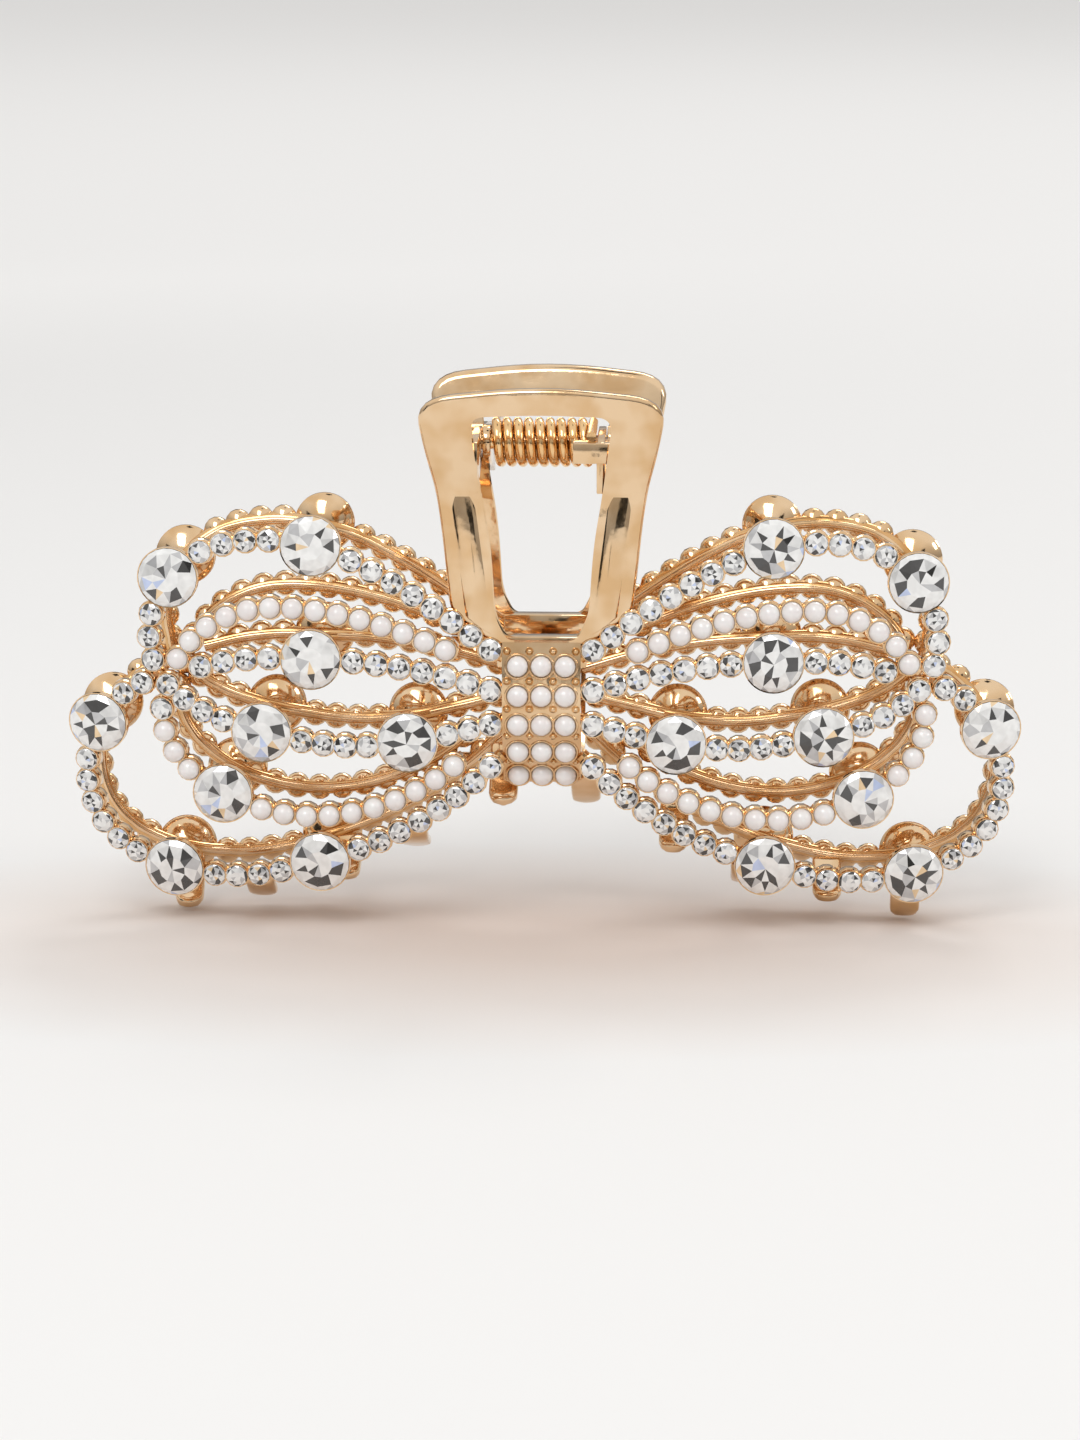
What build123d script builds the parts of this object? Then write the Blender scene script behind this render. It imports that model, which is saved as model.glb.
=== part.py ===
"""Jewelled bow hair claw, in millimetres.

Two cast bow halves hang on one hinge pin and a coil spring holds them shut.  Each half
is a finger loop, a knot plate, two openwork wings of six strands each, and five curved
teeth.  Crystals and half-round pearls sit in cups along the strands.

X runs along the bow, the front half faces -Y, +Z is up.  The origin lies on the surface
that the clip stands on, under its middle.  The rear half is the front half turned by
half a turn about Z, so the teeth of the two halves pass between each other.
"""
import os

from build123d import *

os.makedirs("parts", exist_ok=True)

# ---------------------------------------------------------------- driving dimensions
# Form of the bow: how far its front face stands from the closing plane y = 0
FACE_DEPTH = 8.8          # at the knot
BOW_MID_Z = 24.0          # height of the bow's middle
REACH = 50.0              # half length that the curl is measured over
HALF_RISE = 25.0          # half height that the lean is measured over
CAST_DEPTH = 2.2          # depth of a strand from its rim to its back
RIB_WIDTH = 1.9           # width of the bar that joins the cups

# Stones and their cups
CRYSTAL_R = 1.10
PEARL_R = 1.10
LARGE_R = 3.05
CUP_WALL = 0.18
SEAT_CLEARANCE = 0.02
CRYSTAL_SEAT = 0.70       # depth of a seat under the rim
PEARL_SEAT = 0.60
LARGE_SEAT = 1.20
CROWN_SHARE = 0.36        # crown height of a crystal as a share of its radius
TABLE_SHARE = 0.55        # table radius of a crystal as a share of its radius
PEARL_FLAT = 38.0         # latitude, in degrees, of a pearl's flat back

# Knot plate
KNOT_WIDTH = 8.1
KNOT_TOP_Z = 30.8
KNOT_BOTTOM_Z = 15.6
KNOT_PROUD = 0.5          # how far it stands in front of the wings
KNOT_RADIUS = 16.0        # its upright curve
KNOT_CREST_Z = 26.0
KNOT_THICKNESS = 1.6
KNOT_BACKING = (28.0, 31.2)   # heights of the bar behind the knot that joins the legs
KNOT_BACKING_DEPTH = 3.2  # from the front face to the bar's back
KNOT_COLUMNS = (-2.45, 0.0, 2.45)
KNOT_ROW_PITCH = 3.1
KNOT_FIRST_ROW = 2.5      # along the curve, from the top edge to the first pearl

# Finger loop
LOOP_TOP_Z = 56.7
LOOP_SHOULDER_Z = 53.9    # where the bar's ends turn into the legs
LOOP_BEND_Z = 45.7        # where the legs start to lean outwards
LOOP_THICKNESS = 2.0
LOOP_FLARE = 3.4          # how far the bar stands out from the legs
BAR_HEIGHT = 2.2
SHOULDER_HALF = 11.9      # half widths of the loop's outline
BEND_HALF = 9.9
FOOT_HALF = 8.6
FOOT_OUTER_Z = 33.9       # the legs end on the upper loops, from here
FOOT_INNER = (4.6, 30.97) # down to here
LEG_WIDTH_TOP = 4.7
LEG_WIDTH_BEND = 3.7
LEG_WIDTH_FOOT = 3.75
THROAT_HALF = 3.6         # half width of the loop's opening at the knot

# Hinge
PIN_Z = 50.4
PIN_R = 0.75
PIN_CLEARANCE = 0.04
PIN_HEAD_R = 1.15
PIN_HEAD_THICKNESS = 0.45
LUG_R = 1.7
LUG_THICKNESS = 0.8
LUG_GAP = 0.1             # between neighbouring lugs, along the pin
INNER_LUG_X = 5.62        # the inner lug's near face
STOP_HEIGHT = 2.1         # shelf that carries the inner lug and steadies the spring
STOP_REACH = 3.2          # distance from the middle to the shelf's end
STOP_FRONT = 1.3          # how far the shelf stands behind the loop's face
STOP_BACK = 3.3           # distance from the pin's axis to the shelf's back

# Spring
WIRE_R = 0.5
COIL_R = 2.1              # to the middle of the wire
COIL_PITCH = 1.12
COIL_TURNS = 9            # whole turns, so that both ends leave over the top
SPRING_LEG = 7.2          # how far each end runs out over its shelf

# Teeth
TOOTH_WIDTH = 3.2
TOOTH_THICKNESS = 1.2
TOOTH_TIP_R = 1.5
TOOTH_ROOT = 0.3          # how far a tooth's root reaches into the casting


# ---------------------------------------------------------------- form of the bow
def face_depth(x, z):
    """Distance of the wings' front face from the closing plane."""
    across = (x / REACH) ** 2
    up = (z - BOW_MID_Z) / HALF_RISE
    curl = 1.2 * across + 2.4 * across**2
    lean = 1.2 * up**2 - 0.3 * up - 2.2 * across * up
    return FACE_DEPTH - curl - lean


def face_plane(x, z):
    """Plane on the front face at (x, z), looking straight out of it."""
    step = 0.01
    slope_x = (face_depth(x + step, z) - face_depth(x - step, z)) / (2 * step)
    slope_z = (face_depth(x, z + step) - face_depth(x, z - step)) / (2 * step)
    outward = Vector(-slope_x, -1, -slope_z).normalized()
    return Plane(origin=(x, -face_depth(x, z), z), x_dir=Vector(0, 0, 1).cross(outward),
                 z_dir=outward)


# ---------------------------------------------------------------- strands of one wing
# Each strand runs through these points, (distance from the middle, height), from its
# first stone's centre to its last one's.  c is a crystal, p a pearl, L a large crystal.
STRANDS = {
    "upper_loop": (
        [(5.3, 30.0), (11.3, 34.3), (17.8, 38.2), (24.0, 40.7), (30.4, 41.1), (35.2, 39.9),
         (38.6, 37.2), (40.5, 33.3), (40.4, 28.4)],
        "cccccccc" "L" "cccc" "L" "ccc",
    ),
    "lower_loop": (
        [(41.6, 25.9), (46.2, 21.9), (47.9, 15.5), (46.2, 10.4), (42.2, 7.2), (38.1, 5.8),
         (31.6, 5.3), (23.2, 7.1), (15.0, 10.4), (9.0, 14.3), (5.3, 17.6)],
        "cc" "L" "cccccc" "L" "cccc" "L" "cccccccc",
    ),
    "upper_pearl_strand": (
        [(37.8, 28.6), (34.4, 32.2), (30.2, 33.9), (25.6, 34.1), (18.7, 33.0), (9.9, 29.9)],
        "pppppppppppppp",
    ),
    "upper_crystal_strand": (
        [(35.4, 27.8), (30.5, 28.7), (24.0, 28.8), (14.9, 28.0), (5.3, 25.7)],
        "cccc" "L" "ccccccc",
    ),
    "lower_crystal_strand": (
        [(38.9, 25.8), (35.0, 22.9), (28.9, 20.9), (20.2, 19.6), (13.7, 20.2), (5.3, 22.1)],
        "cccc" "L" "cccc" "L" "ccc",
    ),
    "lower_pearl_strand": (
        [(39.6, 23.2), (38.4, 18.7), (33.4, 14.3), (26.7, 12.2), (19.8, 12.5), (9.1, 17.7)],
        "pppp" "L" "pppppppppp",
    ),
}
LEFT_LOWER_PEARL_STRAND = "cppp" "L" "pppppppppp"
RADIUS = {"c": CRYSTAL_R, "p": PEARL_R, "L": LARGE_R}
SEAT = {"c": CRYSTAL_SEAT, "p": PEARL_SEAT, "L": LARGE_SEAT}
SIDES = {"right": 1, "left": -1}


def place_stones(points, pattern):
    """Stones spread along a strand with the same gap between all of them."""
    route = Spline(*points)
    radii = [RADIUS[kind] for kind in pattern]
    gap = (route.length - sum(radii[:-1]) - sum(radii[1:])) / (len(pattern) - 1)
    stones = []
    travelled = 0.0
    for index, kind in enumerate(pattern):
        if index:
            travelled += radii[index - 1] + radii[index] + gap
        spot = route.position_at(min(travelled / route.length, 1.0))
        stones.append((kind, spot.X, spot.Y))
    return stones


def seats(stones, kind, depth):
    """Planes at the given depth under the rims of one kind of stone."""
    return [face_plane(x, z).offset(-depth) for found, x, z in stones if found == kind]


# Curved slab that the strands are cut from: the bow's face, one casting deep
columns = [-REACH - 2 + 8 * step for step in range(14)]
rows = [-4 + 7 * step for step in range(8)]
bow_face = Face.make_surface_from_array_of_points(
    [[Vector(x, -face_depth(x, z), z) for z in rows] for x in columns]
)
with BuildPart() as bow_slab:
    extrude(bow_face, amount=CAST_DEPTH, dir=(0, 1, 0))


# ---------------------------------------------------------------- knot plate
def knot_arc(depth):
    """Upright curve of the knot plate, at a depth under its front, on the plane x = 0."""
    radius = KNOT_RADIUS - depth
    centre_y = KNOT_RADIUS - FACE_DEPTH - KNOT_PROUD
    ends = []
    for z in (KNOT_TOP_Z, KNOT_BOTTOM_Z):
        rise = z - KNOT_CREST_Z
        ends.append((centre_y - (radius**2 - rise**2) ** 0.5, z))
    return ends[0], (centre_y - radius, KNOT_CREST_Z), ends[1]


def knot_planes():
    """Seats of the knot's pearls, spaced along the plate's curve."""
    centre = Vector(0, KNOT_RADIUS - FACE_DEPTH - KNOT_PROUD, KNOT_CREST_Z)
    top = Vector(0, -1, 0).get_angle(Vector(0, *knot_arc(0)[0]) - centre)
    planes = []
    for row in range(5):
        travelled = KNOT_FIRST_ROW + row * KNOT_ROW_PITCH
        turn = top - travelled / KNOT_RADIUS * 57.2958
        outward = Vector(0, -1, 0).rotate(Axis.X, -turn)
        for x in KNOT_COLUMNS:
            spot = centre + outward * KNOT_RADIUS + Vector(x, 0, 0)
            planes.append(Plane(origin=spot, x_dir=(1, 0, 0), z_dir=outward))
    return planes


with BuildPart() as front_knot:
    with BuildSketch(Plane.YZ) as knot_profile:
        with BuildLine():
            front_arc = ThreePointArc(*knot_arc(0))
            back_arc = ThreePointArc(*knot_arc(KNOT_THICKNESS))
            Line(front_arc @ 0, back_arc @ 0)
            Line(front_arc @ 1, back_arc @ 1)
        make_face()
    extrude(amount=KNOT_WIDTH / 2, both=True)
    with Locations(*[plane.offset(-PEARL_SEAT) for plane in knot_planes()]):
        Cylinder(PEARL_R + SEAT_CLEARANCE, 2, align=(Align.CENTER, Align.CENTER, Align.MIN),
                 mode=Mode.SUBTRACT)


# ---------------------------------------------------------------- strands
def cast_strand(points, stones, neighbours):
    """One strand of the right wing: a bar with cups, cut clear of its neighbours."""
    with BuildPart() as strand:
        with BuildSketch(Plane.XZ) as outline:
            with BuildLine():
                Spline(*points)
            trace(line_width=RIB_WIDTH)
            for kind, x, z in stones:
                with Locations((x, z)):
                    Circle(RADIUS[kind] + SEAT_CLEARANCE + CUP_WALL)
        extrude(amount=FACE_DEPTH + 2)
        add(bow_slab.part, mode=Mode.INTERSECT)
        for neighbour in neighbours:
            add(neighbour, mode=Mode.SUBTRACT)
        for kind in "Lcp":
            places = seats(stones, kind, SEAT[kind])
            if places:
                with Locations(*places):
                    Cylinder(RADIUS[kind] + SEAT_CLEARANCE, SEAT[kind] + 2,
                             align=(Align.CENTER, Align.CENTER, Align.MIN), mode=Mode.SUBTRACT)
    return strand.solids().sort_by(SortBy.VOLUME)[-1]


wings = {}
stones_of = {"right": [], "left": []}
made = [front_knot.part]
for name, (points, pattern) in STRANDS.items():
    stones = place_stones(points, pattern)
    strand = cast_strand(points, stones, made)
    made.append(strand)
    wings[f"right_{name}"] = strand
    stones_of["right"] += stones
    if name == "lower_pearl_strand":
        stones = place_stones(points, LEFT_LOWER_PEARL_STRAND)
        strand = cast_strand(points, stones, made[:-1])
    wings[f"left_{name}"] = mirror(strand, about=Plane.YZ)
    stones_of["left"] += [(kind, -x, z) for kind, x, z in stones]

# ---------------------------------------------------------------- stones
def crystal(radius, seat):
    """Round stone: a flat back in the seat, a girdle, and a crown up to the table."""
    rim = seat + 0.06
    crown = rim + CROWN_SHARE * radius
    with BuildPart() as stone:
        with BuildSketch(Plane.XZ):
            with BuildLine():
                Polyline((0, 0), (radius * 0.8, 0), (radius, 0.3 * seat), (radius, rim),
                         (radius * TABLE_SHARE, crown), (0, crown), close=True)
            make_face()
        revolve(axis=Axis.Z)
    return stone.part


small_crystal = crystal(CRYSTAL_R, CRYSTAL_SEAT)
large_crystal = crystal(LARGE_R, LARGE_SEAT)
with BuildPart() as pearl:
    Sphere(PEARL_R, arc_size1=-PEARL_FLAT)
pearl_rise = -pearl.part.bounding_box().min.Z

stone_groups = {}
for side, stones in stones_of.items():
    with BuildPart() as crystals:
        with Locations(*seats(stones, "c", CRYSTAL_SEAT)):
            add(small_crystal)
    with BuildPart() as large_crystals:
        with Locations(*seats(stones, "L", LARGE_SEAT)):
            add(large_crystal)
    with BuildPart() as pearls:
        with Locations(*seats(stones, "p", PEARL_SEAT - pearl_rise)):
            add(pearl.part)
    stone_groups[f"{side}_crystals"] = crystals.part
    stone_groups[f"{side}_large_crystals"] = large_crystals.part
    stone_groups[f"{side}_pearls"] = pearls.part
with BuildPart() as knot_pearls:
    with Locations(*[plane.offset(pearl_rise - PEARL_SEAT) for plane in knot_planes()]):
        add(pearl.part)

# ---------------------------------------------------------------- finger loop and lugs
leg_y = -FACE_DEPTH + 0.2                      # front face of the legs
bar_y = leg_y - LOOP_FLARE
pin_axis = Axis((0, 0, PIN_Z), (1, 0, 0))
outer_lug_x = INNER_LUG_X + LUG_THICKNESS + LUG_GAP


def lug(near_x, root_y):
    """Plate from the loop's back to the pin, with a round end."""
    with BuildPart() as plate:
        with BuildSketch(Plane.YZ.offset(near_x)):
            with Locations((0, PIN_Z)):
                Circle(LUG_R)
            with BuildLine():
                Polyline((0, PIN_Z + LUG_R), (root_y, PIN_Z + LUG_R - 0.6),
                         (root_y, PIN_Z - 4.2), (-LUG_R * 0.7, PIN_Z - LUG_R * 0.7), close=True)
            make_face()
        extrude(amount=LUG_THICKNESS)
    return plate.part


with BuildPart() as front_handle:
    with BuildSketch(Plane.XZ) as loop_outline:
        with BuildLine():
            crown_arc = ThreePointArc((-SHOULDER_HALF + 1.6, LOOP_TOP_Z - 0.7), (0, LOOP_TOP_Z),
                                      (SHOULDER_HALF - 1.6, LOOP_TOP_Z - 0.7))
            Polyline(crown_arc @ 1, (SHOULDER_HALF, LOOP_SHOULDER_Z), (BEND_HALF, LOOP_BEND_Z),
                     (FOOT_HALF, FOOT_OUTER_Z), FOOT_INNER, (-FOOT_INNER[0], FOOT_INNER[1]),
                     (-FOOT_HALF, FOOT_OUTER_Z),
                     (-BEND_HALF, LOOP_BEND_Z), (-SHOULDER_HALF, LOOP_SHOULDER_Z), crown_arc @ 0)
        make_face()
        shoulders = loop_outline.vertices().group_by(Axis.Y)[-2:]
        fillet(shoulders[0] + shoulders[1], radius=1.2)
        with BuildLine():
            brow = ThreePointArc(
                (-SHOULDER_HALF + LEG_WIDTH_TOP, LOOP_TOP_Z - BAR_HEIGHT - 0.5),
                (0, LOOP_TOP_Z - BAR_HEIGHT),
                (SHOULDER_HALF - LEG_WIDTH_TOP, LOOP_TOP_Z - BAR_HEIGHT - 0.5),
            )
            Polyline(brow @ 1, (BEND_HALF - LEG_WIDTH_BEND, LOOP_BEND_Z),
                     (FOOT_HALF - LEG_WIDTH_FOOT, KNOT_TOP_Z + 2.6), (THROAT_HALF, KNOT_TOP_Z),
                     (-THROAT_HALF, KNOT_TOP_Z), (-FOOT_HALF + LEG_WIDTH_FOOT, KNOT_TOP_Z + 2.6),
                     (-BEND_HALF + LEG_WIDTH_BEND, LOOP_BEND_Z), brow @ 0)
        make_face(mode=Mode.SUBTRACT)
    extrude(amount=3 * FACE_DEPTH)
    with BuildSketch(Plane.YZ) as side_profile:
        with BuildLine():
            Polyline((leg_y, 0), (leg_y, LOOP_BEND_Z), (bar_y, LOOP_TOP_Z + 1),
                     (bar_y + LOOP_THICKNESS, LOOP_TOP_Z + 1),
                     (leg_y + LOOP_THICKNESS, LOOP_BEND_Z), (leg_y + LOOP_THICKNESS, 0), close=True)
        make_face()
    extrude(amount=SHOULDER_HALF + 1, both=True, mode=Mode.INTERSECT)
    with Locations((0, KNOT_BACKING_DEPTH - FACE_DEPTH, sum(KNOT_BACKING) / 2)):
        Box(2 * FOOT_INNER[0], KNOT_BACKING_DEPTH - 1, KNOT_BACKING[1] - KNOT_BACKING[0],
            align=(Align.CENTER, Align.MAX, Align.CENTER))
    # the outer lug stands behind the left leg, the inner one on the shelf of the right leg
    pin_rise = (PIN_Z - LOOP_BEND_Z) / (LOOP_TOP_Z + 1 - LOOP_BEND_Z)
    face_at_pin = leg_y - LOOP_FLARE * pin_rise
    add(lug(-outer_lug_x - LUG_THICKNESS, face_at_pin + LOOP_THICKNESS / 2))
    shelf_y = face_at_pin + STOP_FRONT
    with Locations((STOP_REACH, shelf_y, PIN_Z)):
        Box(SHOULDER_HALF - LEG_WIDTH_TOP - STOP_REACH + 1.2, -STOP_BACK - shelf_y, STOP_HEIGHT,
            align=(Align.MIN, Align.MIN, Align.CENTER))
    add(lug(INNER_LUG_X, shelf_y))
    for x in (-outer_lug_x - LUG_THICKNESS / 2, INNER_LUG_X + LUG_THICKNESS / 2):
        with Locations(Location((x, 0, PIN_Z), (0, 90, 0))):
            Cylinder(PIN_R + PIN_CLEARANCE, LUG_THICKNESS + 0.1, mode=Mode.SUBTRACT)
    for blocker in [front_knot.part, wings["right_upper_loop"], wings["left_upper_loop"]]:
        add(blocker, mode=Mode.SUBTRACT)
handle_casting = front_handle.solids().sort_by(SortBy.VOLUME)[-1]


# ---------------------------------------------------------------- teeth
def tooth(x, root, tip, casting):
    """Curved tooth from the casting's back at root to a round tip, both given as (y, z)."""
    with BuildPart() as prong:
        with BuildSketch(Plane.YZ.offset(x)):
            with BuildLine():
                Spline(root, tip, tangents=[(0.62, -0.78), (0.93, -0.36)])
            trace(line_width=TOOTH_THICKNESS)
        extrude(amount=TOOTH_WIDTH / 2, both=True)
        end = prong.faces().sort_by_distance((x, *tip))[0]
        fillet(end.edges().filter_by(Axis.X, reverse=True), radius=TOOTH_TIP_R)
        add(casting, mode=Mode.SUBTRACT)
        add(front_knot.part, mode=Mode.SUBTRACT)
    return prong.solids().sort_by(SortBy.VOLUME)[-1]


def strand_root(x, z):
    """Root of a tooth on the back of the lower loop."""
    return (-face_depth(x, z) + CAST_DEPTH - TOOTH_ROOT, z)


TEETH = [
    (38.0, strand_root(38.0, 5.4), (0.2, 0.55), wings["right_lower_loop"]),
    (21.2, strand_root(21.2, 7.4), (0.9, 3.9), wings["right_lower_loop"]),
    (4.4, (-5.8, 17.3), (1.2, 12.3), wings["right_lower_loop"]),
    (-13.6, strand_root(-13.6, 10.9), (1.5, 7.4), wings["left_lower_loop"]),
    (-29.9, strand_root(-29.9, 5.4), (0.7, 2.0), wings["left_lower_loop"]),
]
with BuildPart() as front_teeth:
    for x, root, tip, casting in TEETH:
        add(tooth(x, root, tip, casting))

# ---------------------------------------------------------------- pin and spring
pin_half = outer_lug_x + LUG_THICKNESS + 0.06
with BuildPart() as hinge_pin:
    with Locations(Location((0, 0, PIN_Z), (0, 90, 0))):
        Cylinder(PIN_R, 2 * pin_half + PIN_HEAD_THICKNESS)
    for end in (-1, 1):
        x = end * (pin_half + PIN_HEAD_THICKNESS / 2)
        with Locations(Location((x, 0, PIN_Z), (0, 90, 0))):
            Cylinder(PIN_HEAD_R, PIN_HEAD_THICKNESS)

coil_length = COIL_PITCH * COIL_TURNS
leg_drop = COIL_R - WIRE_R - STOP_HEIGHT / 2
with BuildPart() as torsion_spring:
    with BuildLine() as wire_line:
        coil = Helix(COIL_PITCH, coil_length, COIL_R, center=(-coil_length / 2, 0, PIN_Z),
                     direction=(1, 0, 0))
    with BuildSketch(Plane(coil @ 0, z_dir=coil % 0)):
        Circle(WIRE_R)
    sweep(path=coil, is_frenet=True)
    for end, across in ((0, 1), (1, -1)):
        root = coil @ end
        tip = root + Vector(0, across * SPRING_LEG, -leg_drop)
        with BuildLine() as leg_line:
            leg = Line(root, tip)
        with BuildSketch(Plane(root, z_dir=leg % 0)):
            Circle(WIRE_R)
        sweep(path=leg)

# ---------------------------------------------------------------- both halves and export
front = {
    "handle": handle_casting,
    "knot": front_knot.part,
    "knot_pearls": knot_pearls.part,
    "teeth": front_teeth.part,
    **wings,
    **stone_groups,
}
nodes = {"hinge_pin": hinge_pin.part, "torsion_spring": torsion_spring.part}
for name, piece in front.items():
    nodes[f"front_{name}"] = piece
    with BuildPart() as turned:
        add(piece, rotation=(0, 0, 180))
    nodes[f"rear_{name}"] = turned.part
for name, piece in nodes.items():
    piece.label = name
    export_step(piece, f"parts/{name}.step")
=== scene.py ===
import math
import random

import bmesh
import bpy
from mathutils import Matrix, Vector
from mathutils.bvhtree import BVHTree


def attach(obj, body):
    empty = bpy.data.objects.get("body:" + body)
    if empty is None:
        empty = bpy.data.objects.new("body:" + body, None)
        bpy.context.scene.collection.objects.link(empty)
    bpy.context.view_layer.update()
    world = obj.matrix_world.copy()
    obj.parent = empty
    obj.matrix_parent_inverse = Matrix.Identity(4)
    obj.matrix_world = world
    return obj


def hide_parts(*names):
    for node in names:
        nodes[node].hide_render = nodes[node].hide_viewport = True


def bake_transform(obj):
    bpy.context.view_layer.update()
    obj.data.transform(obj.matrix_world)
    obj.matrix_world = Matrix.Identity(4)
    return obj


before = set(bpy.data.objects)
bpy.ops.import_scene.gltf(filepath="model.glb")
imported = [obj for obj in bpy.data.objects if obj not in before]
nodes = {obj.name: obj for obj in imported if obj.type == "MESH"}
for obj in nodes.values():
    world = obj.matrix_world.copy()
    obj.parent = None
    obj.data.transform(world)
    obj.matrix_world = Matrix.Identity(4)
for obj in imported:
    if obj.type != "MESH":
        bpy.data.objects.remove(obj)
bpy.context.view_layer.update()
MM = 0.001
for name in ("Cube", "Light", "Camera"):
    if name in bpy.data.objects:
        bpy.data.objects.remove(bpy.data.objects[name])

# %% [markdown]
# ## Sizes
# All sizes are millimetres, and MM turns them into Blender's metres.  A stone's radius is the
# one that fills its cup, and SEAT is how far the rim of a cup stands above the stone's back.
# Sizes that several pieces share are named here once, so cups and stones always fit.
# The random draws start from a fixed seed, so every run gives the same clip.
# %% Shared sizes
CRYSTAL_R = 1.15
PEARL_R = 1.12
LARGE_R = 3.06
SEAT = {"c": 0.70, "p": 0.60, "L": 1.20}
BEAD_ROWS = (29.9, 26.85, 23.9, 20.95, 18.0, 15.85)
BEAD_COLUMNS = (-3.55, -1.22, 1.22, 3.55)
STRANDS = ("upper_loop", "lower_loop", "upper_pearl_strand", "upper_crystal_strand",
           "lower_crystal_strand", "lower_pearl_strand")
STONE_NODES = {"crystals": "c", "large_crystals": "L", "pearls": "p"}
chance = random.Random(11)
print("seats stand", SEAT, "mm above the stone backs")

# %% [markdown]
# ## Tools for materials
# A finish could be an image wrapped on the piece, but these pieces have no seams to hide a
# wrap in.  Noise read from the piece's own coordinates needs no wrap and moves with the piece.
# These helpers add a noise, a colour ramp and a fine relief to a Principled shader.
# %% Material helpers
def shader_of(name, **values):
    """New material and its Principled node, with plain values set on it."""
    material = bpy.data.materials.new(name)
    material.use_nodes = True
    shader = material.node_tree.nodes["Principled BSDF"]
    for key, value in values.items():
        shader.inputs[key.replace("_", " ")].default_value = value
    return material, shader


def noise(material, scale, detail=2.0, roughness=0.5):
    """Noise in the piece's own coordinates."""
    tree = material.node_tree
    place = tree.nodes.new("ShaderNodeTexCoord")
    texture = tree.nodes.new("ShaderNodeTexNoise")
    texture.inputs["Scale"].default_value = scale
    texture.inputs["Detail"].default_value = detail
    texture.inputs["Roughness"].default_value = roughness
    tree.links.new(place.outputs["Object"], texture.inputs["Vector"])
    return texture


def ramp(material, source, stops, socket):
    """Colour ramp from a texture into a socket."""
    tree = material.node_tree
    node = tree.nodes.new("ShaderNodeValToRGB")
    while len(node.color_ramp.elements) < len(stops):
        node.color_ramp.elements.new(0.5)
    for element, (position, colour) in zip(node.color_ramp.elements, stops):
        element.position = position
        element.color = colour
    tree.links.new(source.outputs[0], node.inputs["Fac"])
    tree.links.new(node.outputs["Color"], socket)


def bump(material, shader, source, strength, distance):
    """Fine relief from a texture."""
    tree = material.node_tree
    node = tree.nodes.new("ShaderNodeBump")
    node.inputs["Strength"].default_value = strength
    node.inputs["Distance"].default_value = distance
    tree.links.new(source.outputs[0], node.inputs["Height"])
    tree.links.new(node.outputs["Normal"], shader.inputs["Normal"])


print("material helpers ready")


# %% [markdown]
# ## Gold
# The clip is cast metal with a thin pale gold plating.  Plating is never quite even, so the
# colour and the polish drift a little and the surface waves softly.  There are three finishes:
# the polished outside, a darker, more orange gold on the ribs behind that is painted shade for the
# recess behind the cups, and the drawn wire of the spring.
# %% Gold finishes
def gold_finish(name, light, deep, rough, relief):
    """Polished plating: a slow drift of colour and polish, and a soft cast unevenness."""
    material, shader = shader_of(name, Metallic=1.0, Roughness=rough)
    drift = noise(material, 260.0)
    ramp(material, drift, [(0.35, deep), (0.62, light)], shader.inputs["Base Color"])
    grain = noise(material, 900.0, 3.0, 0.6)
    low, high = (rough * 0.75,) * 3 + (1,), (rough * 1.5,) * 3 + (1,)
    ramp(material, grain, [(0.35, low), (0.65, high)], shader.inputs["Roughness"])
    bump(material, shader, noise(material, 520.0, 2.0, 0.5), 0.35, relief)
    return material


gold = gold_finish("gold", (0.86, 0.63, 0.40, 1), (0.74, 0.48, 0.25, 1), 0.09, 0.00008)
# Painted shade: the ribs get a darker, more orange gold for the shaded recess behind the cups.
gold_painted_shade = gold_finish("gold_painted_shade", (0.81, 0.51, 0.25, 1), (0.65, 0.35, 0.13, 1), 0.14, 0.00012)
wire_gold = gold_finish("wire_gold", (0.93, 0.66, 0.36, 1), (0.87, 0.55, 0.26, 1), 0.12, 0.00002)

print("gold finishes:", gold.name, gold_painted_shade.name, wire_gold.name)

# %% [markdown]
# ## Pearl
# An imitation pearl is a bead under a clear lacquer.  A coat gives the sharp highlight, and a
# little light scattered below the surface takes the hardness out of the white.
# %% Pearl finish
pearl_white, shader = shader_of("pearl_white", Roughness=0.25, Coat_Weight=1.0, Coat_Roughness=0.08,
                                Subsurface_Weight=0.08, Subsurface_Scale=0.0006)
shader.inputs["Subsurface Radius"].default_value = (1.0, 0.7, 0.6)
ramp(pearl_white, noise(pearl_white, 420.0), [(0.35, (0.90, 0.85, 0.84, 1)),
                                              (0.65, (0.95, 0.93, 0.92, 1))],
     shader.inputs["Base Color"])

print("pearl finish:", pearl_white.name)

# %% [markdown]
# ## Crystal
# A real stone is clear with a mirror foil behind it.  Tracing light through hundreds of them is
# slow and noisy, and what the eye sees is a pattern of light and dark facets.  So that light and
# dark is painted: each facet gets one of five glossy tones, painted reflections, which is quick.
# %% Painted facet tones
# Painted reflections: white and grey are painted light, dark is painted shade, blue and warm are
# painted flashes of colour.
PAINTED_TONES = {"white": (0.97, 0.97, 0.96), "grey": (0.60, 0.60, 0.61), "dark": (0.055, 0.053, 0.052),
         "blue": (0.60, 0.70, 0.97), "warm": (0.95, 0.70, 0.42)}
facets = []
for tone, colour in PAINTED_TONES.items():
    facet, shader = shader_of(f"painted_facet_{tone}", Metallic=0.25, Roughness=0.10, Coat_Weight=1.0,
                              Coat_Roughness=0.01, Coat_IOR=1.6)
    tint = [(stop, tuple(c * share for c in colour) + (1,))
            for stop, share in ((0.35, 0.88), (0.65, 1.0))]
    ramp(facet, noise(facet, 1200.0, 1.0), tint, shader.inputs["Base Color"])
    facets.append(facet)
print("materials:", [m.name for m in bpy.data.materials])

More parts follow.
